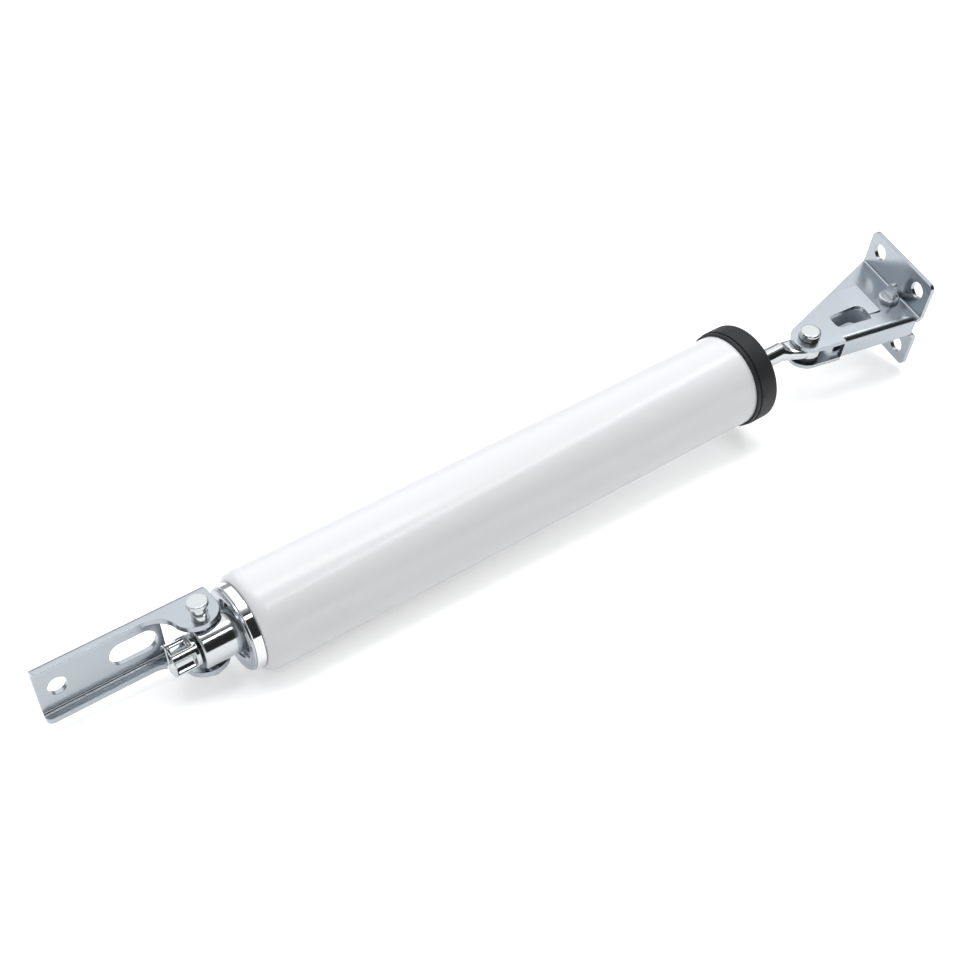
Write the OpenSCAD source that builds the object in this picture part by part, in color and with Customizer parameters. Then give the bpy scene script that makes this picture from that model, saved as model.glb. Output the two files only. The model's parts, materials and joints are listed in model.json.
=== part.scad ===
// Pneumatic door closer: air tube, rod and spring, with a channel bracket for the door
// and a flanged bracket for the jamb. Millimetres. The origin is the door bracket's round
// screw hole, on the door's face. +X runs along the tube to the jamb, +Z is up along the
// door pin, and -Y points into the room.

/* [Air tube] */
// Outside diameter of the tube
tube_d = 38; // [34:0.5:44]
// Wall of the tube
tube_wall = 1.2; // [0.8:0.1:1.6]
// Length of the tube over its rolled end
tube_l = 229; // [210:0.1:300]
// How far the rolled shoulder draws in
roll_w = 3; // [2.4:0.1:3.6]
// Length of the rolled shoulder
roll_l = 4.4; // [2.4:0.1:5]
// How far the rolled lip reaches in from the bore
lip_w = 3; // [2.6:0.1:3.4]

/* [End plug] */
// Door pin's axis to the tube's rolled edge
pin_to_tube = 14.1; // [13.4:0.1:17]
// Diameter of the boss that carries the door pin
boss_d = 16; // [13:0.1:17]
// How far the boss runs past the pin's axis
boss_end = 3.9; // [3.7:0.1:4.5]
// Edge radius of the boss
boss_edge = 0.9; // [0.4:0.1:1.4]
// Radius of the flare at the boss's root
flare_r = 1.2; // [0.8:0.1:2.2]
// Length of the plug inside the tube
plug_l = 11; // [9:0.5:16]
// How far the plug's neck stands out of the tube
neck_out = 1.6; // [1.4:0.1:2]
// Wall of the collar ring
collar_wall = 1; // [0.7:0.1:1.4]
// Sheet of the dished washer
dish_t = 0.9; // [0.7:0.1:1.1]
// Width of the dished washer's flat rim
dish_rim = 2.6; // [2:0.1:3]
// Depth of the dished washer
dish_depth = 2; // [1.6:0.1:2.4]
// Section diameter of the plug's seal ring
oring_d = 2.4; // [1.8:0.1:2.8]

/* [Speed screw] */
// Diameter of the fluted knob
knob_d = 10.8; // [10:0.1:11]
// Length of the fluted knob
knob_l = 9.6; // [9.4:0.1:12]
// Number of flutes
flutes = 4; // [3:1:4]
// Radius of a flute
flute_r = 4.2; // [3:0.1:4.4]
// Depth of a flute
flute_depth = 2.4; // [1.4:0.1:2.4]
// Thickness of the knob's end flange
knob_flange = 1.2; // [0.8:0.1:2]
// Diameter of the nipple that the knob turns on
nipple_d = 4; // [3.6:0.1:4]
// Length of the nipple
nipple_l = 5.6; // [5:0.1:6]
// Diameter of the metering needle
needle_d = 1.8; // [1.6:0.1:2]
// Diameter of the air passage
passage_d = 1.2; // [0.8:0.1:1.4]
// Air gap between the knob's floor and the nipple with the needle home
knob_gap = 0.3; // [0.2:0.1:0.6]

/* [Piston and rod] */
// Diameter of the rod
rod_d = 7.9; // [7:0.1:9.5]
// Diameter of the rod's turned-down end
rod_end_d = 6; // [5:0.1:6.4]
// Tube's right end to the jamb pin's axis, with the rod in
rod_out = 36.4; // [34:0.1:60]
// Air gap between the plug and the rod's tip at rest
rest_gap = 5; // [3:0.5:9]
// Thickness of the piston nut
nut_t = 4.2; // [3:0.1:5]
// Width of the piston nut across its flats
nut_af = 10; // [9:0.5:12]
// Thickness of the cup follower
follower_t = 1.2; // [0.8:0.1:2]
// Thickness of the cup seal's base
cup_t = 2.2; // [1.6:0.1:3]
// Length of the cup seal's lip
cup_lip = 5; // [3:0.1:6]
// Length of the piston
piston_l = 9; // [7:0.5:14]
// Thickness of the rod's eye
eye_t = 5; // [4.4:0.1:5.2]
// Radius of the rod's eye
eye_r = 6.6; // [6:0.1:7]
// How far the eye's hole lies off the rod's axis
eye_off = 2.8; // [0:0.1:3]

/* [Return spring] */
// Wire of the spring
wire_d = 2; // [1.6:0.1:2]
// Mean diameter of the spring
spring_d = 25; // [22:0.5:26]
// Turns of the spring
spring_turns = 26; // [18:1:26]

/* [Rod end cap] */
// How far the cap's band stands proud of the tube
cap_proud = 1.3; // [0.8:0.1:2]
// Length of the cap's skirt over the tube
skirt_l = 8.5; // [5:0.1:10]
// How far the cap runs past the tube's end
cap_end = 2.2; // [2:0.1:5]
// Length of the cap's spigot inside the tube
spigot_l = 11.2; // [9:0.1:16]
// Outside diameter of the guide bush
bush_d = 12.4; // [11.5:0.1:14]
// Thickness of the guide bush's flange
bush_flange = 1.6; // [1:0.1:2.4]
// Thickness of the spring seat
seat_t = 1.2; // [0.8:0.1:2]
// Thickness of the rod wiper
wiper_t = 1.8; // [1.2:0.1:1.9]

/* [Door bracket] */
// Screw hole to the door pin's axis
hole_to_pin = 47.4; // [44:0.1:60]
// Door's face to the door pin's axis
pin_off = 15.6; // [15:0.1:22]
// Sheet of the door bracket
door_t = 2; // [1.6:0.1:2.2]
// Height of the channel over its flanges
channel_h = 23; // [22:0.1:26]
// Outside radius of the channel's bends
channel_bend = 3.4; // [2.6:0.1:4]
// Depth of the channel's straight flanges
channel_depth = 5.3; // [4.6:0.1:7]
// Screw hole to the channel's end
end_margin = 7.2; // [6:0.1:10]
// Diameter of the screw hole
door_hole_d = 7; // [5:0.1:8]
// Screw hole to the middle of the slot
slot_off = 27.1; // [22:0.1:27.4]
// Length of the slot over its round ends
slot_l = 17.6; // [12:0.1:18]
// Width of the slot
slot_w = 9; // [6:0.1:10]
// Radius of the ears
ear_r = 8.1; // [7.6:0.1:8.4]
// How far the ears' centre lies behind the pin
ear_back = 4.2; // [3.6:0.1:4.6]
// Radius where the flanges sweep into the ears
sweep_r = 9; // [6:0.5:11]
// Web's end to the pin's axis
web_gap = 9.6; // [9:0.1:12]
// Diameter of the door pin
door_pin_d = 5; // [4:0.1:5.4]
// Diameter of the door pin's head
door_head_d = 7.6; // [7:0.1:10]
// How far the door pin's head stands above the ear
door_head_up = 7.7; // [6:0.1:12]

/* [Jamb bracket] */
// Turn of the rod and the jamb bracket about the tube's axis
jamb_roll = 12.8; // [-180:0.1:180]
// Swing of the jamb bracket about its pin, as shown
jamb_turn = -10.4; // [-90:0.1:90]
// Sheet of the jamb bracket
jamb_t = 1.8; // [1.6:0.1:2]
// Gap between the arms
arm_gap = 7.4; // [6.8:0.1:8.4]
// Radius of the arms' round ends
arm_r = 7.6; // [7.4:0.1:9]
// Pin's axis to the front of the screw flange
arm_l = 51.9; // [46:0.1:70]
// Width of the screw flange
flange_w = 40.6; // [38:0.1:44]
// Height of the screw flange over both halves
flange_h = 44.4; // [42:0.1:60]
// Inside radius of the flange bends
flange_bend = 0.9; // [0.6:0.1:1.4]
// Outside radius of the side wall's bends
side_bend = 2.8; // [2.5:0.1:3.4]
// Pin's axis to the start of the side wall
wall_from = 13.6; // [12:0.1:18]
// Diameter of the jamb screw holes
jamb_hole_d = 7.2; // [5:0.1:8]
// Spacing of the jamb screw holes across the flange
jamb_hole_w = 26.2; // [18:0.1:26.4]
// Spacing of the jamb screw holes up the flange
jamb_hole_h = 30.6; // [28:0.1:31]
// Diameter of the jamb pin
jamb_pin_d = 6; // [5:0.1:6.6]
// Diameter of the jamb pin's head
jamb_head_d = 8.6; // [8:0.1:12]
// Height of the jamb pin's head
jamb_head_h = 3.6; // [2:0.1:4]
// Height of the embossed step
step_h = 0.7; // [0.3:0.1:1]
// Diameter of the stop stud's base
stud_d = 8.8; // [8:0.1:9]
// Height of the stop stud's tab
tab_h = 8.5; // [6:0.1:10]

/* [Hidden] */
$fn = 64;

// Radial clearance of running fits, and end play between pieces that turn
fit = 0.05;
play = 0.1;
// Overlap that lets cuts run clear of a face
cut = 1;

// Tube and plug, along X from the door pin's axis
tube_r = tube_d/2;
bore_r = tube_r - tube_wall;
tube_x0 = pin_to_tube;
tube_x1 = tube_x0 + tube_l;
neck_r = bore_r - lip_w - fit;
neck_x = tube_x0 - neck_out;
plug_x0 = tube_x0 + tube_wall;
plug_x1 = plug_x0 + plug_l;
boss_r = boss_d/2;
collar_r = neck_r + collar_wall;
dish_x = neck_x - dish_t - dish_depth;
dish_r = collar_r - 0.5;
groove_d = 0.8*oring_d;
oring_x = (plug_x0 + plug_x1)/2 + 1;

// Speed screw
knob_r = knob_d/2;
knob_x1 = -boss_end - 0.6;
knob_x0 = knob_x1 - knob_l;
nipple_x = -boss_end - nipple_l;
knob_floor = nipple_x - knob_gap;
seat_face = -boss_end - 0.5;

// Piston stack, from the rod's tip to the shoulder
rod_r = rod_d/2;
rod_end_r = rod_end_d/2;
rod_x0 = plug_x1 + rest_gap;
nut_x = rod_x0 + 1.2;
follower_x = nut_x + nut_t + play;
cup_x = follower_x + follower_t;
piston_x = cup_x + cup_t;
piston_x1 = piston_x + piston_l;
shoulder_x = piston_x1 + play;
cup_r = bore_r - fit;

// Cap end
cap_r = tube_r + cap_proud;
cap_x1 = tube_x1 + cap_end;
skirt_x = tube_x1 - skirt_l;
spigot_x = tube_x1 - spigot_l;
spigot_r = bore_r - fit;
bush_x = spigot_x - bush_flange;
seat_x = bush_x - seat_t;
wiper_x = cap_x1 - wiper_t;

// Door bracket, in the plane of the door pin
ear_z = channel_h/2;
ear_under = ear_z - door_t;
free_y = pin_off - channel_depth;
sweep_dx = sqrt(pow(ear_r + sweep_r, 2) - pow(free_y - sweep_r - ear_back, 2));
sweep_a = atan2(ear_back - free_y + sweep_r, sweep_dx);
tip_r = 4;
clip_t = 0.6;

// Jamb bracket, from the jamb pin's axis
jamb_x = tube_x1 + rod_out;
arm_in = arm_gap/2;
arm_out = arm_in + jamb_t;
// the arms' straight edges lie a hair inside the round end, so that they cut it cleanly
arm_edge = arm_r - 0.02;
// the flange reaches a little past the straight near edge, and far out on the other side
flange_near = arm_edge + 0.2;
flange_far = flange_w - flange_near;
flange_y = flange_w/2 - flange_near;
taper = atan2(flange_far, arm_l) - asin(arm_edge/norm([arm_l, flange_far]));
wall_to = arm_l - flange_bend - 0.6;
wall_lap = 0.6;
ring_t = 0.8;
// the bracket hangs on the eye, so its middle lies below the rod's axis
hang = (arm_gap - eye_t)/2 - play;
stud_x = arm_l - flange_bend - stud_d/2 - 0.1;
stud_y = arm_r;
stud_pin_r = 2;
// embossed step and cut-out, set back from the flange
step_x1 = arm_l - 13.3;
step_x0 = step_x1 - 13;
step_y0 = 2.4;
step_y1 = arm_edge/cos(taper) + step_x0*tan(taper) - 0.6;
hole_x0 = 15;
hole_x1 = step_x1 - 6.2;

// Points along an arc, from angle a0 to a1
function arc(x, y, r, a0, a1, n = 10) =
    [for (i = [0:n]) let (a = a0 + (a1 - a0)*i/n) [x + r*cos(a), y + r*sin(a)]];

// Points along a quarter of an ellipse, from angle a0 to a1
function bow(x, y, rx, ry, a0, a1, n = 14) =
    [for (i = [0:n]) let (a = a0 + (a1 - a0)*i/n) [x + rx*cos(a), y + ry*sin(a)]];

// Puts a piece from the tube's frame, whose X starts at the door pin, into the part's frame
module on_tube() {
    translate([hole_to_pin, -pin_off, 0]) children();
}

// Puts a piece from the rod's rolled frame at its eye into the part's frame
module on_eye() {
    on_tube() translate([jamb_x, 0, 0]) rotate([jamb_roll, 0, 0]) children();
}

// Puts a piece from the jamb pin's frame into the part's frame
module on_jamb() {
    on_eye() translate([0, -eye_off, -hang]) rotate([0, 0, jamb_turn]) children();
}

// Revolves a profile of [x, radius] points round X
module turned(profile) {
    rotate([0, 90, 0]) rotate_extrude() polygon([for (p = profile) [p[1], p[0]]]);
}

// Extrudes an outline in Y and Z along X
module along_x(x0, x1) {
    translate([x0, 0, 0]) rotate([90, 0, 90]) linear_extrude(x1 - x0) children();
}

// A cylinder along X between two stations
module rod_x(x0, x1, r) {
    translate([x0, 0, 0]) rotate([0, 90, 0]) cylinder(h = x1 - x0, r = r);
}

// Rectangle from x = 0 to long, with the corners at x = 0 rounded
module round_end(long, half, r) {
    translate([r, -half]) square([long - r, 2*half]);
    translate([0, r - half]) square([long, 2*(half - r)]);
    for (s = [-1, 1]) translate([r, s*(half - r)]) circle(r);
}

// Section of the door channel in Y and Z: a web on the door's face and two long flanges
module channel_section(deep) {
    mirror([1, 0]) difference() {
        round_end(deep, ear_z, channel_bend);
        translate([door_t, 0]) round_end(deep, ear_under, channel_bend - door_t);
    }
}

// Plan of the door bracket, seen along the pin, with the pin at the origin
module door_plan() {
    x0 = -hole_to_pin - end_margin;
    xs = -sweep_dx;
    ys = free_y - sweep_r;
    corner = 2.4;
    back = pin_off + cut;
    difference() {
        union() {
            polygon([[x0, back], [x0, free_y + corner], [x0 + corner, free_y + corner],
                [x0 + corner, free_y], [xs, free_y], [xs, ys],
                [xs + sweep_r*cos(sweep_a), ys + sweep_r*sin(sweep_a)], [0, ear_back], [0, back]]);
            translate([x0 + corner, free_y + corner]) circle(corner);
            translate([0, ear_back]) circle(ear_r);
            translate([-ear_r/2, ear_back]) square([1.5*ear_r, pin_off - tip_r - ear_back]);
            translate([-ear_r/2, ear_back]) square([1.5*ear_r - tip_r, back - ear_back]);
            translate([ear_r - tip_r, pin_off - tip_r]) circle(tip_r);
        }
        translate([xs, ys]) circle(sweep_r);
    }
}

module door_bracket() {
    color("gainsboro")
    difference() {
        intersection() {
            along_x(-end_margin, hole_to_pin + ear_r) channel_section(pin_off + ear_r);
            on_tube() linear_extrude(channel_h + 2*cut, center = true) door_plan();
        }
        // the web stops short of the ears
        translate([hole_to_pin - web_gap, -pin_off, -ear_under])
            cube([web_gap + ear_r + cut, pin_off + cut, 2*ear_under]);
        // screw hole and adjusting slot
        rotate([90, 0, 0]) cylinder(h = 3*channel_bend, r = door_hole_d/2, center = true);
        rotate([90, 0, 0]) linear_extrude(3*channel_bend, center = true) slot_outline();
        on_tube() cylinder(h = channel_h + 2*cut, r = door_pin_d/2 + fit, center = true);
    }
}

module slot_outline() {
    half = (slot_l - slot_w)/2;
    translate([slot_off, 0]) {
        square([2*half, slot_w], center = true);
        for (s = [-1, 1]) translate([s*half, 0]) circle(slot_w/2);
    }
}

// Headed pin with a collar on the ear, a groove above it and a waist for the air inside the boss
module door_pin() {
    r = door_pin_d/2;
    head_z = ear_z + door_head_up;
    head_r = door_head_d/2;
    clip_z = -ear_z - play;
    end_z = clip_z - 1.5;
    groove_r = r - 0.5;
    color("silver")
    on_tube() rotate_extrude() polygon(concat(
        [[0, end_z], [r - 0.4, end_z], [r, end_z + 0.4], [r, clip_z - clip_t],
         [groove_r, clip_z - clip_t], [groove_r, clip_z], [r, clip_z], [r, -3], [r - 0.6, -2.4],
         [r - 0.6, 2.4], [r, 3], [r, ear_z], [r + 0.4, ear_z], [r + 0.4, ear_z + 2.6],
         [r, ear_z + 2.9], [r - 0.3, ear_z + 2.9], [r - 0.3, ear_z + 3.5], [r, ear_z + 3.5],
         [r, head_z - 1.9], [head_r - 0.4, head_z - 1.9], [head_r, head_z - 1.5]],
        arc(head_r - 0.5, head_z - 0.5, 0.5, 0, 90, 5),
        [[0, head_z]]));
}

// Open ring pushed into the pin's lower groove
module door_pin_clip() {
    r = door_pin_d/2;
    color("darkgray")
    on_tube() translate([0, 0, -ear_z - play - clip_t]) difference() {
        cylinder(h = clip_t, r = r + 0.9);
        translate([0, 0, -cut]) cylinder(h = clip_t + 2*cut, r = r - 0.5);
        translate([0, -r + 0.7, -cut]) cube([r + 3, 2*(r - 0.7), clip_t + 2*cut]);
    }
}

// Tube rolled in at the door end and cut square at the rod end
module tube() {
    xc = tube_x0 + roll_l;
    rc = tube_r - roll_w;
    lip_r = neck_r + fit;
    color("white")
    on_tube() turned(concat(
        [[plug_x0, lip_r], [tube_x0, lip_r]],
        bow(xc, rc, roll_l, roll_w, 180, 90),
        [[tube_x1, tube_r], [tube_x1, bore_r]],
        bow(xc, rc, roll_l - tube_wall, roll_w - tube_wall, 90, 180)));
}

// Turned plug: boss and cross bore outside, neck through the lip, body and seal groove inside
module end_plug() {
    body_r = bore_r - fit;
    g0 = oring_x - oring_d/2 - 0.1;
    g1 = oring_x + oring_d/2 + 0.1;
    lead_r = neck_r + 0.3;
    color("lightsteelblue")
    on_tube() difference() {
        turned(concat(
            [[nipple_x, 0], [nipple_x, nipple_d/2 - 0.4], [nipple_x + 0.4, nipple_d/2],
             [-boss_end, nipple_d/2]],
            arc(-boss_end + boss_edge, boss_r - boss_edge, boss_edge, 180, 90, 5),
            arc(neck_x - flare_r, boss_r + flare_r, flare_r, -90, 0, 8),
            [[neck_x, neck_r], [plug_x0, neck_r], [plug_x0, lead_r], [tube_x0 + roll_l, body_r],
             [g0, body_r], [g0, body_r - groove_d], [g1, body_r - groove_d], [g1, body_r],
             [plug_x1 - 0.6, body_r], [plug_x1, body_r - 0.6], [plug_x1, 0]]));
        cylinder(h = 4*boss_r, r = door_pin_d/2 + fit, center = true);
        rod_x(-boss_end, plug_x1 + cut, passage_d/2);
        rod_x(nipple_x - cut, seat_face, needle_d/2 + fit);
    }
}

// Bright ring between the tube's shoulder and the dished washer
module collar_ring() {
    x0 = dish_x + dish_t;
    e = 0.25;
    color("ghostwhite")
    on_tube() turned([[x0, neck_r + fit], [x0, collar_r - e], [x0 + e, collar_r],
        [tube_x0 - e, collar_r], [tube_x0, collar_r - e], [tube_x0, neck_r + fit]]);
}

// Pressed washer with a flat rim and a rounded recess down to the plug's neck
module dished_washer() {
    hole_r = boss_r + flare_r + 0.2;
    rim_in = dish_r - dish_rim;
    floor_r = hole_r + 1.2;
    n = 8;
    wall = [for (i = [0:n]) let (a = 90*i/n) [dish_depth*(1 - cos(a)), rim_in + (floor_r - rim_in)*sin(a)]];
    color("slategray")
    on_tube() translate([dish_x, 0, 0]) turned(concat(
        [[0, dish_r - 0.25], [0, rim_in]],
        wall,
        [[dish_depth, hole_r], [dish_depth + dish_t, hole_r]],
        [for (i = [n:-1:0]) [wall[i][0] + dish_t, wall[i][1] + 0.1]],
        [[dish_t, dish_r], [0.25, dish_r]]));
}

module plug_oring() {
    r = bore_r - fit - oring_d/2;
    color("dimgray")
    on_tube() translate([oring_x, 0, 0]) rotate([0, 90, 0]) intersection() {
        rotate_extrude() translate([r, 0]) circle(oring_d/2, $fn = 24);
        difference() {
            cylinder(h = 2*oring_d, r = bore_r, center = true);
            cylinder(h = 3*oring_d, r = bore_r - fit - groove_d, center = true);
        }
    }
}

// Cap with a thin lip, a fine groove and a band, over the tube's end, and a spigot inside it
module rod_cap() {
    slot_in = tube_r + fit;
    edge = 1.5;
    lip_r = cap_r - 0.3;
    lip_x = skirt_x + 1.6;
    band_x = lip_x + 0.5;
    hub_r = bush_d/2 + 3;
    color("black")
    on_tube() turned(concat(
        [[spigot_x, bush_d/2 + fit], [spigot_x, spigot_r - 0.6], [spigot_x + 0.6, spigot_r],
         [tube_x1, spigot_r], [tube_x1, slot_in], [skirt_x, slot_in]],
        arc(skirt_x + 0.4, lip_r - 0.4, 0.4, 180, 90, 4),
        [[lip_x, lip_r], [lip_x, lip_r - 0.3], [band_x, lip_r - 0.3],
         [band_x, cap_r - 0.15], [band_x + 0.2, cap_r]],
        arc(cap_x1 - edge, cap_r - edge, edge, 90, 0, 6),
        [[cap_x1, cap_r - 3], [cap_x1 - 0.8, cap_r - 3.8], [cap_x1 - 0.8, hub_r + 0.8],
         [cap_x1, hub_r], [cap_x1, bush_d/2 + 1.2], [wiper_x, bush_d/2 + 1.2], [wiper_x, bush_d/2 + fit]]));
}

// Flanged bush that guides the rod
module guide_bush() {
    color("ivory")
    on_tube() turned([[bush_x, rod_r + fit], [bush_x, bush_d/2 + 3], [spigot_x, bush_d/2 + 3],
        [spigot_x, bush_d/2], [wiper_x, bush_d/2], [wiper_x, rod_r + fit]]);
}

// Ring that keeps dirt off the rod, with a lip that stands a little out of the cap
module rod_wiper() {
    r = bush_d/2 + 1.2 - fit;
    color("dimgray")
    on_tube() turned([[wiper_x, rod_r + fit], [wiper_x, r], [cap_x1, r], [cap_x1, rod_r + 1.6],
        [cap_x1 + 0.9, rod_r + 0.9], [cap_x1 + 0.9, rod_r + fit]]);
}

// Washer with a turned-up centre that keeps the spring off the rod
module spring_seat() {
    ring_r = spring_d/2 - wire_d/2 - 0.8;
    hole_r = rod_r + 0.6;
    color("darkgray")
    on_tube() turned([[seat_x - 2.4, ring_r - 1], [seat_x - 2.4, ring_r], [seat_x, ring_r],
        [seat_x, spring_d/2 + wire_d], [bush_x, spring_d/2 + wire_d], [bush_x, hole_r],
        [seat_x, hole_r], [seat_x, ring_r - 1]]);
}

// Steps of the spring along X: the end turns are close, the rest share what is left
spring_x0 = piston_x1 + wire_d/2 + 0.1;
spring_x1 = seat_x - wire_d/2 - 0.1;
end_turns = 1.5;
end_pitch = wire_d + 0.5;
open_pitch = (spring_x1 - spring_x0 - 2*end_turns*end_pitch)/(spring_turns - 2*end_turns);
function spring_at(u) = spring_x0 + (u < end_turns ? u*end_pitch
    : u > spring_turns - end_turns ? spring_x1 - spring_x0 - (spring_turns - u)*end_pitch
    : end_turns*end_pitch + (u - end_turns)*open_pitch);

// One unbroken wire, swept round the helix
module return_spring() {
    per_turn = 12;
    sides = 6;
    rings = spring_turns*per_turn;
    points = [for (i = [0:rings]) let (u = i/per_turn, a = 360*u, x = spring_at(u))
        for (k = [0:sides - 1]) let (b = 360*k/sides, q = spring_d/2 + wire_d/2*cos(b))
            [x + wire_d/2*sin(b), q*cos(a), q*sin(a)]];
    sides_faces = [for (i = [0:rings - 1], k = [0:sides - 1], half = [0, 1])
        let (k2 = (k + 1) % sides, p = i*sides, q = p + sides)
            half == 0 ? [p + k, q + k, q + k2] : [p + k, q + k2, p + k2]];
    ends = concat(
        [[for (k = [0:sides - 1]) k]],
        [[for (k = [sides - 1:-1:0]) rings*sides + k]]);
    color("gray")
    on_tube() polyhedron(points = points, faces = concat(sides_faces, ends));
    echo(least_gap_between_turns = min(end_pitch, open_pitch) - wire_d);
}

// Fluted knob that turns on the plug's nipple and backs the needle
module speed_screw() {
    color("lightsteelblue")
    on_tube() difference() {
        turned([[knob_x0, 0], [knob_x0, knob_r - 0.7], [knob_x0 + 0.7, knob_r], [knob_x1 - 0.5, knob_r],
            [knob_x1, knob_r - 0.5], [knob_x1, 0]]);
        rod_x(knob_floor, knob_x1 + cut, nipple_d/2 + fit);
        // flutes run from the end flange to a plain band at the boss end
        for (i = [0:flutes - 1]) rotate([(i + 0.5)*360/flutes, 0, 0])
            translate([0, 0, knob_r - flute_depth + flute_r])
                rod_x(knob_x0 + knob_flange, knob_x1 - 1.6, flute_r);
        // screwdriver slot
        translate([knob_x0 - cut, -0.6, -knob_r - cut]) cube([cut + 1.3, 1.2, 2*knob_r + 2*cut]);
    }
}

// Needle whose cone meters the air at the passage's mouth
module valve_needle() {
    r = needle_d/2;
    color("gold")
    on_tube() turned([[knob_floor, 0], [knob_floor, r], [seat_face - r, r],
        [seat_face - 0.1, 0.2], [seat_face - 0.1, 0]]);
}

// Piston with a hub and a relieved spring side
module piston() {
    r = bore_r - 0.5;
    hub_r = spring_d/2 - wire_d/2 - 1;
    color("whitesmoke")
    on_tube() turned([[piston_x, rod_end_r + fit], [piston_x, r - 1], [piston_x + 1, r],
        [piston_x1 - 3.4, r], [piston_x1 - 3.4, r - 1.2], [piston_x1 - 2, r - 1.2], [piston_x1 - 2, r],
        [piston_x1, r], [piston_x1, rod_end_r + fit]]);
}

// Rubber cup whose lip faces the trapped air
module cup_seal() {
    lip_x = piston_x - cup_t - cup_lip;
    color("black")
    on_tube() turned([[cup_x, rod_end_r + fit], [cup_x, cup_r - 2.6], [lip_x + 1, cup_r - 1.5],
        [lip_x, cup_r - 0.4], [lip_x + 0.5, cup_r], [piston_x, cup_r - 1.2], [piston_x, rod_end_r + fit]]);
}

module cup_follower() {
    r = cup_r - 3.4;
    color("darkgray")
    on_tube() turned([[follower_x, rod_end_r + fit], [follower_x, r], [cup_x, r], [cup_x, rod_end_r + fit]]);
}

// Nut on the rod's turned-down end
module piston_nut() {
    color("dimgray")
    on_tube() difference() {
        rod_x_hex(nut_x, nut_x + nut_t, nut_af/2/cos(30));
        rod_x(nut_x - cut, nut_x + nut_t + cut, rod_end_r + 0.01);
    }
}

module rod_x_hex(x0, x1, r) {
    translate([x0, 0, 0]) rotate([0, 90, 0]) cylinder(h = x1 - x0, r = r, $fn = 6);
}

// Angle at which a line from [x, y] touches the eye, whose centre is the origin
function touch(x, y, side) = atan2(y, x) - side*acos(eye_r/norm([x, y]));

// Outline of the rod's flattened end: it widens from within the rod to the round eye
module eye_outline(x0) {
    half = sqrt(rod_r*rod_r - eye_t*eye_t/4) - 0.1;
    up = touch(x0, half + eye_off, 1);
    down = touch(x0, eye_off - half, -1);
    translate([0, -eye_off]) {
        circle(eye_r);
        polygon([[x0, half + eye_off], [x0, eye_off - half],
            [(eye_r - 0.02)*cos(down), (eye_r - 0.02)*sin(down)],
            [(eye_r - 0.02)*cos(up), (eye_r - 0.02)*sin(up)]]);
    }
}

// Rod with a turned-down end for the piston and a flattened eye for the jamb pin
module piston_rod() {
    neck = 14;
    neck_taper = 2.4;
    color("silver") {
        on_tube() turned([[rod_x0, 0], [rod_x0, rod_end_r - 0.5], [rod_x0 + 0.5, rod_end_r],
            [shoulder_x, rod_end_r], [shoulder_x, rod_r - 0.3], [shoulder_x + 0.3, rod_r],
            [jamb_x - neck, rod_r], [jamb_x - neck + neck_taper, eye_t/2 + 0.2],
            [jamb_x - neck + neck_taper, 0]]);
        on_eye() difference() {
            linear_extrude(eye_t, center = true) eye_outline(-neck - 0.4);
            translate([0, -eye_off, 0]) cylinder(h = eye_t + 2*cut, r = jamb_pin_d/2 + fit, center = true);
        }
    }
}

// Plan of the arms: round at the pin, one straight edge, the other running out to the flange
module arm_plan() {
    x_end = arm_l + jamb_t + cut;
    y_end = flange_far + (x_end - arm_l)*tan(taper);
    y_near = flange_near + cut;
    circle(arm_r);
    polygon([[-arm_edge*sin(taper), arm_edge*cos(taper)], [0, -arm_edge], [wall_to, -arm_edge],
        [wall_to + 0.3, -y_near], [x_end, -y_near], [x_end, y_end]]);
}

// Strip of the arms that the side wall's bends take up
module wall_strip() {
    translate([wall_from, -arm_edge - cut, -flange_h/2])
        cube([wall_to - wall_from, side_bend + wall_lap/2 + cut, flange_h]);
}

// Side view of one arm with its flange turned outwards
module arm_profile() {
    r = flange_bend;
    x0 = -arm_r - cut;
    cx = arm_l - r;
    cz = arm_out + r;
    top = flange_h/2;
    difference() {
        union() {
            translate([x0, arm_in]) square([cx - x0, top - arm_in]);
            translate([x0, cz]) square([arm_l + jamb_t - x0, top - cz]);
            translate([cx, cz]) circle(r + jamb_t);
        }
        translate([x0 - cut, arm_out]) square([cx - x0 + cut, top]);
        translate([x0 - cut, cz]) square([arm_l - x0 + cut, top]);
        translate([cx, cz]) circle(r);
    }
}

// Section of the side wall: a web with a bend at each arm, lapped into the arms
module wall_section() {
    long = side_bend + wall_lap;
    translate([-arm_edge, 0]) difference() {
        round_end(long, arm_out, side_bend);
        translate([jamb_t, 0]) round_end(long, arm_in, side_bend - jamb_t);
    }
}

// Cut-out of the arms: a straight near edge, a rounded end by the pin and a slanted far edge
module d_outline() {
    polygon(concat(
        arc(hole_x0 + 2.6, 4.9, 2.6, 98, 180, 8),
        arc(hole_x0 + 2.2, 2.3, 2.2, 180, 270, 8),
        arc(hole_x1 - 0.8, 0.9, 0.8, 270, 360, 4),
        arc(hole_x1 - 3.8, 5.2, 3.8, 0, 95, 8)));
}

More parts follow.
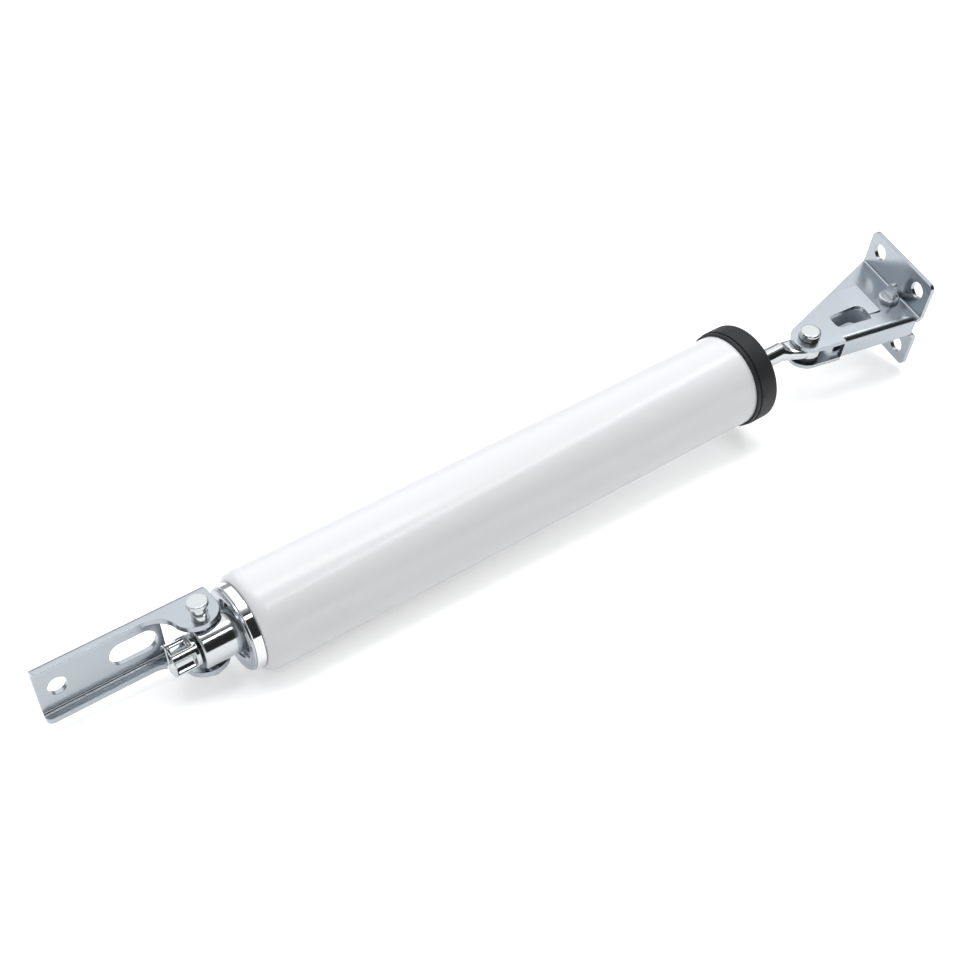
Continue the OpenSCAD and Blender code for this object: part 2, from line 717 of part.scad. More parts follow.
// One stamping: two arms joined by a side wall, and a screw flange turned up and one turned down
module jamb_bracket() {
    corner = 2.6;
    wide = 2*(flange_w + cut);
    color("gainsboro")
    on_jamb() difference() {
        union() {
            difference() {
                intersection() {
                    for (s = [0, 1]) mirror([0, 0, s]) rotate([90, 0, 0])
                        linear_extrude(wide, center = true) arm_profile();
                    linear_extrude(flange_h + 2*cut, center = true) arm_plan();
                    along_x(-arm_r - cut, arm_l + jamb_t + cut) flange_face(corner);
                }
                wall_strip();
            }
            along_x(wall_from, wall_to) wall_section();
            // embossed step of the upper arm
            rotate([90, 0, 0]) translate([0, 0, -step_y1]) linear_extrude(step_y1 - step_y0)
                polygon([[step_x0, arm_out - 0.6], [step_x0, arm_out - 0.1],
                    [step_x1 - 0.5, arm_out + step_h], [step_x1 - 0.1, arm_out + step_h - 0.2],
                    [step_x1, arm_out - 0.6]]);
        }
        cylinder(h = flange_h, r = jamb_pin_d/2 + fit, center = true);
        linear_extrude(flange_h, center = true) d_outline();
        translate([stud_x, stud_y, 0]) cylinder(h = flange_h, r = stud_pin_r + fit);
        for (y = [-1, 1], z = [-1, 1]) translate([0, flange_y + y*jamb_hole_w/2, z*jamb_hole_h/2])
            rod_x(arm_l - cut, arm_l + jamb_t + cut, jamb_hole_d/2);
    }
}

// Face of the screw flange with rounded corners, in Y and Z
module flange_face(corner) {
    translate([flange_y, 0]) for (s = [0, 1]) mirror([s, 0])
        translate([-flange_w/2, 0]) round_end(flange_w/2 + cut, flange_h/2, corner);
}

// Rivet with a low domed head and a groove for its ring
module jamb_pin() {
    r = jamb_pin_d/2;
    head_r = jamb_head_d/2;
    head_z = arm_out + jamb_head_h;
    ring_z = -arm_out - play;
    end_z = ring_z - 2;
    groove_r = r - 0.5;
    edge = 0.9;
    color("silver")
    on_jamb() rotate_extrude() polygon(concat(
        [[0, end_z], [groove_r, end_z], [r, end_z + 0.5], [r, ring_z - ring_t], [groove_r, ring_z - ring_t],
         [groove_r, ring_z], [r, ring_z], [r, arm_out], [head_r - 0.3, arm_out], [head_r, arm_out + 0.3],
         [head_r, head_z - edge]],
        arc(head_r - edge, head_z - edge, edge, 0, 90, 6),
        [[0, head_z]]));
}

module jamb_pin_ring() {
    r = jamb_pin_d/2;
    color("darkgray")
    on_jamb() translate([0, 0, -arm_out - play - ring_t]) difference() {
        cylinder(h = ring_t, r = r + 1.6);
        translate([0, 0, -cut]) cylinder(h = ring_t + 2*cut, r = r - 0.5);
        translate([0, -r + 0.9, -cut]) cube([r + 3, 2*(r - 0.9), ring_t + 2*cut]);
    }
}

// Two washers under the rod's eye, which carries the upper arm
module eye_washers() {
    z0 = -arm_in;
    washer_t = (arm_gap - eye_t)/2 - play;
    color("ivory")
    on_jamb() for (k = [0, 1]) translate([0, 0, z0 + k*(washer_t + play/2)]) difference() {
        cylinder(h = washer_t, r = eye_r - 0.4);
        translate([0, 0, -cut]) cylinder(h = washer_t + 2*cut, r = jamb_pin_d/2 + fit);
    }
}

// Round-based stud with an upright tongue, staked through the upper arm at the bend
module stop_stud() {
    base_t = 1.8;
    r = stud_d/2;
    head_r = stud_pin_r + 0.8;
    tongue_t = 1.8;
    tongue_w = 6;
    tip = 1.8;
    color("gainsboro")
    on_jamb() translate([stud_x, stud_y, arm_out]) difference() {
        union() {
            rotate_extrude() polygon([[0, -jamb_t - 0.8], [head_r, -jamb_t - 0.8], [head_r, -jamb_t],
                [stud_pin_r, -jamb_t], [stud_pin_r, 0], [r, 0], [r, base_t - 0.4], [r - 0.4, base_t],
                [0, base_t]]);
            translate([-tongue_t/2, 0, base_t - 0.1]) rotate([90, 0, 90]) linear_extrude(tongue_t) {
                polygon([[-tongue_w/2, 0], [tongue_w/2, 0], [tip, tab_h - base_t - tip],
                    [-tip, tab_h - base_t - tip]]);
                translate([0, tab_h - base_t - tip]) circle(tip);
            }
        }
        translate([tongue_t/2 + 1.5, -0.8, 0.3]) cylinder(h = base_t + cut, r = 1.2);
    }
}

door_bracket();
door_pin();
door_pin_clip();
tube();
end_plug();
collar_ring();
dished_washer();
plug_oring();
rod_cap();
guide_bush();
rod_wiper();
spring_seat();
return_spring();
speed_screw();
valve_needle();
piston();
cup_seal();
cup_follower();
piston_rod();
piston_nut();
jamb_bracket();
jamb_pin();
jamb_pin_ring();
eye_washers();
stop_stud();
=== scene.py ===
import json
import math
import bmesh
import bpy
import numpy as np
from mathutils import Euler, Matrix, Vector


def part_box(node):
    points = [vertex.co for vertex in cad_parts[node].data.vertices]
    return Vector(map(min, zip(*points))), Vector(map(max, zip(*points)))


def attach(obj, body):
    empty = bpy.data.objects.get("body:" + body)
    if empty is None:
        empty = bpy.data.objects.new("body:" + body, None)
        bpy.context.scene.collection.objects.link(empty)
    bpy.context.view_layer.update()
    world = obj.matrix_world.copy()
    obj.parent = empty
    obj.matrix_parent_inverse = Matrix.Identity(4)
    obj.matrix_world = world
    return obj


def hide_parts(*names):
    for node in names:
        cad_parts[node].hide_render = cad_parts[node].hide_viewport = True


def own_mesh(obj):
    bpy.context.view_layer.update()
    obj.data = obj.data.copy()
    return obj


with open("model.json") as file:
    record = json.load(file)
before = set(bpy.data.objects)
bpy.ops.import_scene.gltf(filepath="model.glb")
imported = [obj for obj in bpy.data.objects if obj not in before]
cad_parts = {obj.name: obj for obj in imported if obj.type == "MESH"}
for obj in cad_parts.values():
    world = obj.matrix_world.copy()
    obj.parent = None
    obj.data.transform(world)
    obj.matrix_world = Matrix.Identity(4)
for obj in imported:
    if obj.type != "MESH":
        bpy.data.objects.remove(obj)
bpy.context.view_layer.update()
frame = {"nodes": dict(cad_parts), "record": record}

mm = 0.001

# Camera: the photograph's own angle, found from the tube's outline and the brackets
camera = {"place": (-0.063689, -0.355681, 0.332534), "turnDeg": (51.64856, 3.32189, -36.08294),
          "lens": 53.66, "sensor": 36.0, "clip": (0.01, 20)}
camData = bpy.data.cameras.new("photoCamera")
camData.lens, camData.sensor_width = camera["lens"], camera["sensor"]
camData.clip_start, camData.clip_end = camera["clip"]
camObj = bpy.data.objects.new("photoCamera", camData)
camObj.location = camera["place"]
camObj.rotation_euler = Euler([math.radians(a) for a in camera["turnDeg"]], "XYZ")
bpy.context.scene.collection.objects.link(camObj)
bpy.context.scene.camera = camObj
print("camera placed")


# sRGB hex to linear colour: below 0.04045 a straight slope, above it a 2.4 power
def srgb(text):
    v = np.array([int(text[i:i + 2], 16) for i in (1, 3, 5)]) / 255
    lin = np.where(v <= 0.04045, v / 12.92, ((v + 0.055) / 1.055) ** 2.4)
    return (float(lin[0]), float(lin[1]), float(lin[2]), 1.0)


# Adds one node: settings are its properties, inputs are values or sockets to link
def addNode(tree, kind, settings=None, inputs=None):
    n = tree.nodes.new(kind)
    for k, v in (settings or {}).items():
        setattr(n, k, v)
    for k, v in (inputs or {}).items():
        if isinstance(v, bpy.types.NodeSocket):
            tree.links.new(v, n.inputs[k])
        else:
            n.inputs[k].default_value = v
    return n


def newMaterial(name):
    m = bpy.data.materials.new(name)
    m.use_nodes = True
    m.node_tree.nodes.clear()
    return m, m.node_tree


noiseSpan = (0.3, 0.7)  # where nearly all of a noise texture's values lie
openSpan = (0.25, 0.75)  # from a closed crease to an open surface, as occlusion measures it
traceSamples = 8  # rays of a bevel or occlusion node
cloudDetail = 3.0  # octaves of the colour's drift


# What every finish has: a slow drift of colour, a fine grain that bumps the surface, a roughness that follows
# the drift or the grain, and edges that a bevel normal rounds. Sizes are in mm
def grainedSurface(name, look, grainDetail, roughFollows):
    m, t = newMaterial(name)
    where = addNode(t, "ShaderNodeTexCoord").outputs["Object"]
    noise = {}
    for kind, detail in (("cloud", cloudDetail), ("grain", grainDetail)):
        noise[kind] = addNode(t, "ShaderNodeTexNoise", None,
                              {"Vector": where, "Scale": 1 / (look[kind + "Mm"] * mm), "Detail": detail})
    tint = addNode(t, "ShaderNodeMix", {"data_type": "RGBA"},
                   {0: noise["cloud"].outputs["Fac"], 6: srgb(look["dark"]), 7: srgb(look["light"])})
    rough = addNode(t, "ShaderNodeMapRange", None,
                    {"Value": noise[roughFollows].outputs["Fac"],
                     "From Min": noiseSpan[0], "From Max": noiseSpan[1],
                     "To Min": look["rough"][0], "To Max": look["rough"][1]})
    edge = addNode(t, "ShaderNodeBevel", {"samples": traceSamples}, {"Radius": look["edgeMm"] * mm})
    bump = addNode(t, "ShaderNodeBump", None,
                   {"Height": noise["grain"].outputs["Fac"], "Strength": look["bump"],
                    "Distance": look["bumpMm"] * mm, "Normal": edge.outputs[0]})
    return m, t, tint.outputs[2], rough.outputs[0], bump.outputs[0]


# A metal: its gloss follows the fine grain, and painted shade darkens its creases and the contacts between
# parts, which occlusion finds within a millimetre or so
def metalFinish(name, look):
    m, t, tint, rough, bump = grainedSurface(name, look, 2.0, "grain")
    near = addNode(t, "ShaderNodeAmbientOcclusion", {"samples": traceSamples},
                   {"Distance": look["creaseMm"] * mm})
    # Painted shade: the tint is darkened where occlusion finds a crease or a contact between parts
    shadeFactor = addNode(t, "ShaderNodeMapRange", None,
                    {"Value": near.outputs["AO"], "From Min": openSpan[0], "From Max": openSpan[1],
                     "To Min": look["creaseShadeDark"], "To Max": 1.0})
    creaseShaded = addNode(t, "ShaderNodeMix", {"data_type": "RGBA", "blend_type": "MULTIPLY"},
                   {0: 1.0, 6: tint, 7: shadeFactor.outputs[0]})
    skin = addNode(t, "ShaderNodeBsdfPrincipled", None,
                   {"Metallic": 1.0, "Base Color": creaseShaded.outputs[2], "Roughness": rough, "Normal": bump})
    addNode(t, "ShaderNodeOutputMaterial", None, {"Surface": skin.outputs[0]})
    return m


# Paint, rubber or moulded plastic: near even colour, a grain bump and a set gloss
def plasticFinish(name, look):
    m, t, tint, rough, bump = grainedSurface(name, look, 3.0, "cloud")
    skin = addNode(t, "ShaderNodeBsdfPrincipled", None,
                   {"Base Color": tint, "Roughness": rough, "Normal": bump, "IOR": look["ior"],
                    "Coat Weight": look["coat"], "Coat Roughness": look["coatRough"]})
    addNode(t, "ShaderNodeOutputMaterial", None, {"Surface": skin.outputs[0]})
    return m


# The crease entries paint shade into the metals: how far occlusion looks, in mm, and how dark a closed crease is
# painted
metalEdges = {"edgeMm": 0.3, "creaseMm": 1.2, "creaseShadeDark": 0.25}
bareMould = {"edgeMm": 0.3, "coat": 0.0, "coatRough": 0.3}

# Bright zinc plate on pressed sheet: bluish grey, softly mirrored, with a fine crystal grain
zincPlate = metalFinish("zincPlate", {
    **metalEdges, "dark": "#A9B0B6", "light": "#B3B9BF", "cloudMm": 14, "grainMm": 0.5,
    "rough": (0.2, 0.26), "bump": 0.05, "bumpMm": 0.02})
# Turned and polished steel: mirror gloss with faint tool lines, drawn here as a fine grain
polishedSteel = metalFinish("polishedSteel", {
    **metalEdges, "dark": "#C2C5C7", "light": "#CBCECF", "cloudMm": 8, "grainMm": 0.4,
    "rough": (0.1, 0.14), "bump": 0.02, "bumpMm": 0.01})
# Chrome plate on the collar ring: the brightest and sharpest mirror on the part
chromePlate = metalFinish("chromePlate", {
    **metalEdges, "dark": "#DDDEDF", "light": "#E8E9EA", "cloudMm": 8, "grainMm": 0.4,
    "rough": (0.04, 0.07), "bump": 0.01, "bumpMm": 0.01})
# A lit copy of the zinc plate on the small staked stud: painted light, lighter and a little more matt than the
# pressings so that the stud reads bright
litZinc = metalFinish("litZinc", {
    **metalEdges, "dark": "#C9CDD1", "light": "#D3D7DA", "cloudMm": 4, "grainMm": 0.4,
    "rough": (0.24, 0.3), "bump": 0.05, "bumpMm": 0.02, "edgeMm": 0.25})
# Drawn spring wire: dark oiled steel
springSteel = metalFinish("springSteel", {
    **metalEdges, "dark": "#5A5C60", "light": "#75787C", "cloudMm": 3, "grainMm": 0.3,
    "rough": (0.3, 0.42), "bump": 0.1, "bumpMm": 0.02})
# Turned brass for the metering needle: warm yellow and bright from the tool
turnedBrass = metalFinish("turnedBrass", {
    **metalEdges, "dark": "#B8924A", "light": "#CBA75E", "cloudMm": 3, "grainMm": 0.3,
    "rough": (0.18, 0.28), "bump": 0.05, "bumpMm": 0.01})
# White powder coat: smooth and half glossy, with a faint orange peel
powderCoat = plasticFinish("powderCoat", {
    "dark": "#ECECEE", "light": "#F1F1F3", "cloudMm": 40, "grainMm": 2.4, "rough": (0.36, 0.4),
    "bump": 0.03, "bumpMm": 0.02, "ior": 1.5, "coat": 0.5, "coatRough": 0.16, "edgeMm": 0.3})
# Black glass-filled nylon: matt, finely sparked from its mould
blackNylon = plasticFinish("blackNylon", {
    **bareMould, "dark": "#121317", "light": "#191A1E", "cloudMm": 5, "grainMm": 0.35,
    "rough": (0.54, 0.64), "bump": 0.25, "bumpMm": 0.03, "ior": 1.5})
# Nitrile rubber for the seals: dull black
nitrileRubber = plasticFinish("nitrileRubber", {
    **bareMould, "dark": "#17181A", "light": "#202124", "cloudMm": 4, "grainMm": 0.3,
    "rough": (0.6, 0.7), "bump": 0.15, "bumpMm": 0.02, "ior": 1.52})
# Natural acetal: milky, slightly waxy
acetal = plasticFinish("acetal", {
    **bareMould, "dark": "#E4E1D8", "light": "#EDEBE4", "cloudMm": 5, "grainMm": 0.4,
    "rough": (0.34, 0.42), "bump": 0.08, "bumpMm": 0.02, "ior": 1.48})
# Black acetal for the washers at the rod's eye: the same resin with carbon black, a low waxy gloss
blackAcetal = plasticFinish("blackAcetal", {
    **bareMould, "dark": "#1C1D20", "light": "#242529", "cloudMm": 5, "grainMm": 0.4,
    "rough": (0.34, 0.42), "bump": 0.08, "bumpMm": 0.02, "ior": 1.48})

finishOfNode = {"door_bracket": zincPlate, "door_pin": polishedSteel, "door_pin_clip": springSteel,
                "tube": powderCoat, "end_plug": polishedSteel, "collar_ring": chromePlate,
                "dished_washer": zincPlate, "plug_oring": nitrileRubber, "rod_cap": blackNylon,
                "guide_bush": acetal, "rod_wiper": nitrileRubber, "spring_seat": zincPlate,
                "return_spring": springSteel, "speed_screw": polishedSteel, "valve_needle": turnedBrass,
                "piston": acetal, "cup_seal": nitrileRubber, "cup_follower": zincPlate,
                "piston_rod": polishedSteel, "piston_nut": zincPlate, "jamb_bracket": zincPlate,
                "jamb_pin": polishedSteel, "jamb_pin_ring": springSteel, "eye_washers": blackAcetal,
                "stop_stud": litZinc}
bodyOfNode = {n: b for b, members in frame["record"]["behaviour"]["bodies"].items() for n in members}
for nodeName, finish in finishOfNode.items():
    slots = frame["nodes"][nodeName].data.materials
    slots.clear()
    slots.append(finish)
print("finishes set on", len(finishOfNode), "CAD nodes")


# Takes a CAD node's place: it rides the same body and wears the same finish
def standFor(piece, nodeName):
    piece.data.materials.clear()
    piece.data.materials.append(finishOfNode[nodeName])
    bpy.context.scene.collection.objects.link(piece)
    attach(piece, bodyOfNode[nodeName])
    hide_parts(nodeName)


merge = {"doublesMm": 0.002, "emptyMm": 0.001}


# Joins a grid of rings of points in mm (rows, columns, 3) into a closed skin. Each ring closes on itself, and
# the last ring meets the first where "joined" is set, or else both have no radius. Doubles are merged, what
# has no area is dropped, and every face is turned outward and shaded smooth
def skinOf(name, grid, joined=False):
    rows, cols = grid.shape[:2]
    i, j = np.meshgrid(np.arange(rows if joined else rows - 1), np.arange(cols), indexing="ij")
    nextRow, nextCol = (i + 1) % rows, (j + 1) % cols
    quads = np.stack([i * cols + j, i * cols + nextCol, nextRow * cols + nextCol, nextRow * cols + j], -1)
    mesh = bpy.data.meshes.new(name)
    mesh.from_pydata((grid.reshape(-1, 3) * mm).tolist(), [], quads.reshape(-1, 4).tolist())
    bm = bmesh.new()
    bm.from_mesh(mesh)
    bmesh.ops.remove_doubles(bm, verts=bm.verts, dist=merge["doublesMm"] * mm)
    bmesh.ops.dissolve_degenerate(bm, edges=bm.edges, dist=merge["emptyMm"] * mm)
    bmesh.ops.recalc_face_normals(bm, faces=bm.faces)
    bm.to_mesh(mesh)
    bm.free()
    mesh.polygons.foreach_set("use_smooth", [True] * len(mesh.polygons))
    return bpy.data.objects.new(name, mesh)


# How softProfile rounds: the share of a side that a round may take, the turn in radians from which it has its
# full radius, and how far past each end of the curve a flat's point lies, as a share of the round
rounding = {"sideShare": 0.42, "fullTurn": 0.8, "lead": 0.35}


# Rounds each corner of a closed profile by a quadratic curve that starts at most "radius" from the corner,
# and adds a point close to each curve on the flats, so that smooth shading stays inside the round. The curve
# at t from 0 to 1 is (1-t)^2 start + 2t(1-t) corner + t^2 end
def softProfile(points, radius):
    p = np.array(points, float)
    toPrev, toNext = np.roll(p, 1, 0) - p, np.roll(p, -1, 0) - p
    lenPrev, lenNext = np.linalg.norm(toPrev, axis=1), np.linalg.norm(toNext, axis=1)
    a, b = toPrev / lenPrev[:, None], toNext / lenNext[:, None]
    turn = np.arccos(np.clip(-(a * b).sum(1), -1, 1))
    reach = np.minimum(np.minimum(lenPrev, lenNext) * rounding["sideShare"],
                       radius * np.minimum(1.0, turn / rounding["fullTurn"]))[:, None]
    lead = rounding["lead"]
    t = np.array([-lead, 0.0, 0.25, 0.5, 0.75, 1.0, 1 + lead])[None, :, None]
    inner = np.clip(t, 0, 1)
    start, end = p + a * reach, p + b * reach
    curve = (1 - inner) ** 2 * start[:, None] + 2 * inner * (1 - inner) * p[:, None] + inner ** 2 * end[:, None]
    ahead = np.where(t < 0, (a * reach * lead)[:, None], 0)
    behind = np.where(t > 1, (b * reach * lead)[:, None], 0)
    return (curve + ahead + behind).reshape(-1, 2)


# Turns a closed profile of [along, radius] points (mm) round an axis: point = centre + along*axis
# + radius*(cos a*side + sin a*up), for a grid of profile point by angle a. The profile keeps off the axis, so
# a solid piece has a hairline bore there
def turnedPiece(name, profile, centre, axis, steps):
    axis = np.array(axis, float) / np.linalg.norm(axis)
    aside = (0.0, 0.37, 0.93) if abs(axis[0]) > 0.5 else (1.0, 0.0, 0.0)  # any way that isn't along the axis
    side = np.cross(axis, aside)
    side /= np.linalg.norm(side)
    up = np.cross(axis, side)
    a = np.linspace(0, 2 * np.pi, steps, endpoint=False)
    ring = np.cos(a)[:, None] * side + np.sin(a)[:, None] * up
    grid = np.array(centre) + profile[:, None, :1] * axis + profile[:, None, 1:] * ring[None]
    return skinOf(name, grid, joined=True)


# Eases from 0 to 1 while v goes from a to b: 3u^2 - 2u^3
def ease(a, b, v):
    u = np.clip((v - a) / (b - a), 0, 1)
    return u * u * (3 - 2 * u)


# Frames of the part, in mm: the air tube's axis, and the rod's eye, rolled about it and set to one side
place = {"tubeStart": np.array([47.4, -15.6, 0.0]), "eyeAt": 279.5, "eyeRollDeg": 12.8, "eyeOff": 2.8}
roll = math.radians(place["eyeRollDeg"])
rollTurn = np.array([[1, 0, 0], [0, math.cos(roll), -math.sin(roll)], [0, math.sin(roll), math.cos(roll)]])
eyeStart = place["tubeStart"] + np.array([place["eyeAt"], 0, 0])

# Piston rod, in mm: turned-down end and bright shaft, a neck pressed flat, and a round eye with a rounded rim.
# The shaft's places count from the tube's start, the neck's from the eye
rod = {"start": 31.3, "endRadius": 3.0, "shoulder": 49.3, "radius": 3.95, "corner": 0.5, "shaftSides": 128,
       "axisGap": 0.02, "neckFrom": -14.6, "neckTo": -3.7, "neckOverlap": 2.0, "flatten": (-14.2, -10.0),
       "moveAside": (-14.2, -4.0), "widen": (-14.2, -3.7), "halfWide": 5.15, "bulge": 0.35, "square": 0.45,
       "neckRings": 64, "neckSides": 96, "eyeRadius": 6.6, "eyeHole": 3.05, "eyeThick": 5.0, "rim": 0.9,
       "eyeSides": 192}
shaftEnd = place["eyeAt"] + rod["neckFrom"] + rod["neckOverlap"]
shaft = turnedPiece("rodShaft", softProfile([
    [rod["start"], rod["axisGap"]], [rod["start"], rod["endRadius"]], [rod["shoulder"], rod["endRadius"]],
    [rod["shoulder"], rod["radius"]], [shaftEnd, rod["radius"]], [shaftEnd, rod["axisGap"]]], rod["corner"]),
    place["tubeStart"], (1, 0, 0), rod["shaftSides"])
standFor(shaft, "piston_rod")
# Neck ring at x: half width w, half thickness h and centre y = -off*ease. Its points are y = w c|c|^(k-1) and
# z = h s|s|^(k-1), with c = cos a, s = sin a and k easing from 1, a circle, to 0.55, a rounded slab
x = np.linspace(rod["neckFrom"], rod["neckTo"], rod["neckRings"])
x = np.concatenate([x[:1], x, x[-1:]])
flat = ease(*rod["flatten"], x)
centreY = -place["eyeOff"] * ease(*rod["moveAside"], x)
halfWide = (rod["radius"] + (rod["halfWide"] - rod["radius"]) * ease(*rod["widen"], x)
            + rod["bulge"] * np.sin(np.pi * flat))
halfThick = rod["radius"] + (rod["eyeThick"] / 2 - rod["radius"]) * flat
power = 1 - rod["square"] * flat
a = np.linspace(0, 2 * np.pi, rod["neckSides"], endpoint=False)
c, s = np.cos(a)[None], np.sin(a)[None]
ringY = np.sign(c) * np.abs(c) ** power[:, None] * halfWide[:, None]
ringZ = np.sign(s) * np.abs(s) ** power[:, None] * halfThick[:, None]
ringY[[0, -1]], ringZ[[0, -1]] = 0, 0
grid = np.stack([np.broadcast_to(x[:, None], ringY.shape), centreY[:, None] + ringY, ringZ], -1)
neck = skinOf("rodNeck", eyeStart + grid @ rollTurn.T)
standFor(neck, "piston_rod")
h = rod["eyeThick"] / 2
eye = turnedPiece("rodEye", softProfile([[-h, rod["eyeHole"]], [h, rod["eyeHole"]], [h, rod["eyeRadius"]],
                                         [-h, rod["eyeRadius"]]], rod["rim"]),
                  eyeStart + rollTurn @ np.array([0, -place["eyeOff"], 0]),
                  rollTurn @ np.array([0, 0, 1.0]), rod["eyeSides"])
standFor(eye, "piston_rod")
print("rod shaft, neck and eye made")

# Speed screw, in mm from the tube's start: ridges with scooped valleys between, a screwdriver slot in the end
# face, and a bore for the nipple. Each span is where an ease begins and ends, from the edge it belongs to
knob = {"from": -14.1, "to": -4.5, "radius": 5.9, "corner": 0.4, "ridges": 4, "sides": 320,
        "scoopDepth": 2.9, "scoopRadius": 3.3, "ridgeBlend": 0.12, "flange": 0.5, "flangeSpan": (-0.3, 0.7),
        "band": 1.5, "bandSpan": (-0.9, 0.0), "bore": 2.05, "boreLead": 0.1, "boreWall": 0.5, "floor": -9.83,
        "slotWide": 1.2, "slotDeep": 1.3, "slotSpan": (-0.08, 0.12)}
rows = {"face": 36, "corner": 6, "side": 48, "back": 10, "bore": 10, "slotted": 40}
r, q = knob["radius"], knob["corner"]
start, end = knob["from"], knob["to"]
bend = np.linspace(1.4, 0.1, rows["corner"])  # the corner's angles, just short of its flats
outline = np.concatenate([np.stack(np.broadcast_arrays(along, out), -1) for along, out in (
    (start, np.linspace(0, r - q, rows["face"])),
    (start + q * (1 - np.sin(bend)), r - q + q * np.cos(bend)),
    (np.linspace(start + q, end - q, rows["side"]), r),
    (end - q * (1 - np.sin(bend[::-1])), r - q + q * np.cos(bend[::-1])),
    (end, np.linspace(r - q, knob["bore"], rows["back"])),
    (np.linspace(end - knob["boreLead"], knob["floor"], rows["bore"]), knob["bore"]),
    (np.array([knob["floor"]]), 0.0))])
along, out = outline[:, 0], outline[:, 1]
a = np.linspace(0, 2 * np.pi, knob["sides"], endpoint=False)
# Scoop: distance from the axis to a circle of radius c whose centre lies d out in the valley's direction,
# d cos b - sqrt(c^2 - d^2 sin^2 b). Its meeting with the ridge r is a soft minimum,
# -m log(exp(-scoop/m) + exp(-r/m)), m being the blend
c = knob["scoopRadius"]
d = r - knob["scoopDepth"] + c
sector = 2 * np.pi / knob["ridges"]
b = a % sector
b = np.where(b > sector / 2, b - sector, b)
inside = c ** 2 - (d * np.sin(b)) ** 2
beyond = r + 3  # stands for the scoop where it isn't met
scoop = np.where(inside > 0, d * np.cos(b) - np.sqrt(np.maximum(inside, 0)), beyond)
m = knob["ridgeBlend"]
wave = -m * np.log(np.exp(-np.minimum(scoop, beyond) / m) + np.exp(-r / m))
flangeEdge, bandEdge = start + knob["flange"], end - knob["band"]
window = (ease(flangeEdge + knob["flangeSpan"][0], flangeEdge + knob["flangeSpan"][1], along)
          * (1 - ease(bandEdge + knob["bandSpan"][0], bandEdge + knob["bandSpan"][1], along))
          * (out > knob["bore"] + knob["boreWall"]))[:, None]
reach = out[:, None] - window * (r - np.minimum(wave, r)[None])
ringY, ringZ = reach * np.cos(a)[None], reach * np.sin(a)[None]
slotEdge = knob["slotWide"] / 2
slot = knob["slotDeep"] * (1 - ease(slotEdge + knob["slotSpan"][0], slotEdge + knob["slotSpan"][1],
                                    np.abs(ringY)))
slot[rows["slotted"]:] = 0
grid = np.stack([along[:, None] + slot, ringY, ringZ], -1)
speedKnob = skinOf("speedKnob", place["tubeStart"] + grid)
standFor(speedKnob, "speed_screw")
print("speed screw made")

# Return spring, in mm, wound at rest; the real spring closes up towards its seat as the rod is drawn out by the
# stroke
spring = {"turns": 26, "mean": 25.0, "endTurns": 1.5, "endGap": 0.5, "perTurn": 24, "sides": 8,
          "stroke": 120.0}
low, high = [np.array(corner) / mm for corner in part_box("return_spring")]
wire = float((high[2] - low[2]) - spring["mean"])
firstX, lastX = low[0] + wire / 2, high[0] - wire / 2
# Helix: at turn u the wire's middle lies at (x(u), R cos 2 pi u, R sin 2 pi u), x being close-wound at the
# ends, and its skin lies w/2 (sin b, cos b) off that along X and the radius
turns, ends = spring["turns"], spring["endTurns"]
u = np.linspace(0, turns, turns * spring["perTurn"] + 1)
closeStep = wire + spring["endGap"]
along = np.interp(u, [0, ends, turns - ends, turns],
                  [firstX, firstX + ends * closeStep, lastX - ends * closeStep, lastX])
b = np.linspace(0, 2 * np.pi, spring["sides"], endpoint=False)[None]
thick = np.full(len(u) + 2, wire / 2)
thick[[0, -1]] = 0
u, along = [np.concatenate([v[:1], v, v[-1:]]) for v in (u, along)]
reach = spring["mean"] / 2 + thick[:, None] * np.cos(b)
turn = 2 * np.pi * u[:, None]
grid = np.stack([along[:, None] + thick[:, None] * np.sin(b), place["tubeStart"][1] + reach * np.cos(turn),
                 reach * np.sin(turn)], -1)
returnCoil = skinOf("returnCoil", grid)
standFor(returnCoil, "return_spring")
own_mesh(returnCoil)

# Floor: a white sweep that falls slightly towards the jamb bracket, as the closer lies on it
studio = {"floorAt": (0.061, -0.0156, -0.0193), "floorFallDeg": 1.9, "floorSize": 12.0, "floorColour": "#F2F2F2",
          "whiteLift": 0.44}
floorMesh = bpy.data.meshes.new("studioFloor")
half = studio["floorSize"] / 2
floorMesh.from_pydata([(-half, -half, 0), (half, -half, 0), (half, half, 0), (-half, half, 0)], [],
                      [(0, 1, 2, 3)])
floorObj = bpy.data.objects.new("studioFloor", floorMesh)
floorObj.location = studio["floorAt"]
floorObj.rotation_euler = (0, math.radians(studio["floorFallDeg"]), 0)
bpy.context.scene.collection.objects.link(floorObj)
floorLook, t = newMaterial("whiteSweep")
ray = addNode(t, "ShaderNodeLightPath")
matt = addNode(t, "ShaderNodeBsdfDiffuse", None, {"Color": srgb(studio["floorColour"])})
seen = addNode(t, "ShaderNodeMath", {"operation": "MAXIMUM"},
               {0: ray.outputs["Is Camera Ray"], 1: ray.outputs["Is Glossy Ray"]})
seen = addNode(t, "ShaderNodeMath", {"operation": "MAXIMUM"},
               {0: seen.outputs[0], 1: ray.outputs["Is Transmission Ray"]})
white = addNode(t, "ShaderNodeMath", {"operation": "MULTIPLY"}, {0: seen.outputs[0], 1: studio["whiteLift"]})
lift = addNode(t, "ShaderNodeEmission", None, {"Color": (1, 1, 1, 1), "Strength": white.outputs[0]})
lit = addNode(t, "ShaderNodeAddShader", None, {0: matt.outputs[0], 1: lift.outputs[0]})
addNode(t, "ShaderNodeOutputMaterial", None, {"Surface": lit.outputs[0]})
floorMesh.materials.append(floorLook)
print("floor laid")

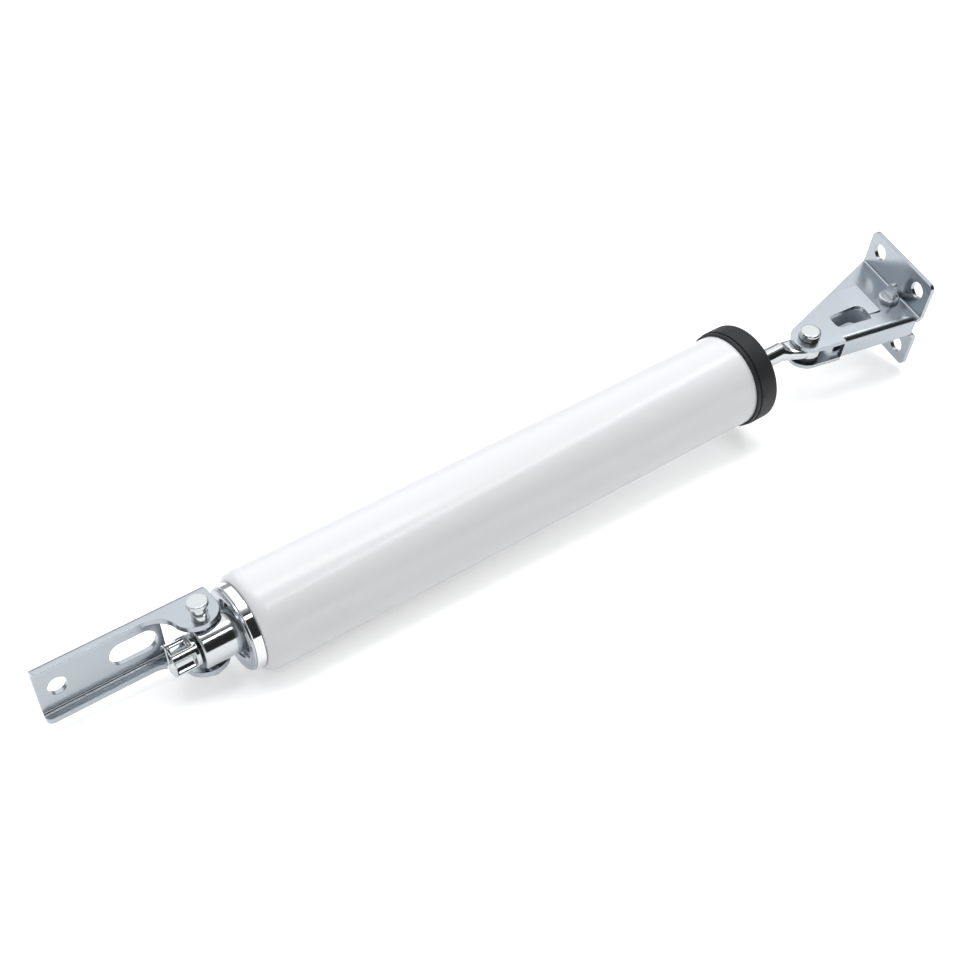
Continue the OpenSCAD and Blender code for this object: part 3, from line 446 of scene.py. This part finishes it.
# The sky: bright above and behind the object, dark on the side that looks at its front
skyLook = {"colour": (0.975, 0.99, 1, 1), "middle": 0.42,
           "darkTo": (0.35, -0.80, 0.48), "darkSpan": (0.74, 0.88), "dark": 0.03,
           "brightTo": (0.10, 0.46, 0.88), "brightSpan": (0.70, 0.79), "bright": 0.98}
world = bpy.data.worlds.new("studioSky")
world.use_nodes = True
t = world.node_tree
t.nodes.clear()
ray = addNode(t, "ShaderNodeLightPath")
way = addNode(t, "ShaderNodeTexCoord")
zone = []
for kind, level in (("dark", (skyLook["middle"], skyLook["dark"])), ("bright", (0.0, skyLook["bright"]))):
    toward = addNode(t, "ShaderNodeVectorMath", {"operation": "DOT_PRODUCT"},
                     {0: way.outputs["Generated"], 1: skyLook[kind + "To"]})
    zone.append(addNode(t, "ShaderNodeMapRange", {"interpolation_type": "SMOOTHSTEP"},
                        {"Value": toward.outputs["Value"], "From Min": skyLook[kind + "Span"][0],
                         "From Max": skyLook[kind + "Span"][1], "To Min": level[0], "To Max": level[1]}))
strength = addNode(t, "ShaderNodeMath", {"operation": "ADD"}, {0: zone[0].outputs[0], 1: zone[1].outputs[0]})
plain = addNode(t, "ShaderNodeBackground", None, {"Color": (1, 1, 1, 1), "Strength": 1.0})
sky = addNode(t, "ShaderNodeBackground", None, {"Color": skyLook["colour"], "Strength": strength.outputs[0]})
either = addNode(t, "ShaderNodeMixShader", None,
                 {0: ray.outputs["Is Camera Ray"], 1: sky.outputs[0], 2: plain.outputs[0]})
addNode(t, "ShaderNodeOutputWorld", None, {"Surface": either.outputs[0]})
bpy.context.scene.world = world

# Lamps: a box lamp overhead and a long strip in front
aim = Vector((0.19, -0.02, 0))
lamps = [{"name": "keyBox", "place": (0.19, -0.05, 1.1), "size": (0.9, 0.3), "watts": 2.6},
         {"name": "frontStrip", "place": (0.62, -0.40, 0.95), "size": (1.5, 0.12), "watts": 3.0}]
for lamp in lamps:
    data = bpy.data.lights.new(lamp["name"], "AREA")
    data.shape, data.size, data.size_y, data.energy = "RECTANGLE", *lamp["size"], lamp["watts"]
    obj = bpy.data.objects.new(lamp["name"], data)
    obj.location = lamp["place"]
    obj.rotation_euler = (aim - Vector(lamp["place"])).to_track_quat("-Z", "Y").to_euler()
    bpy.context.scene.collection.objects.link(obj)
bpy.context.scene.view_settings.view_transform = "Standard"
print("sky and", len(lamps), "lamps made")
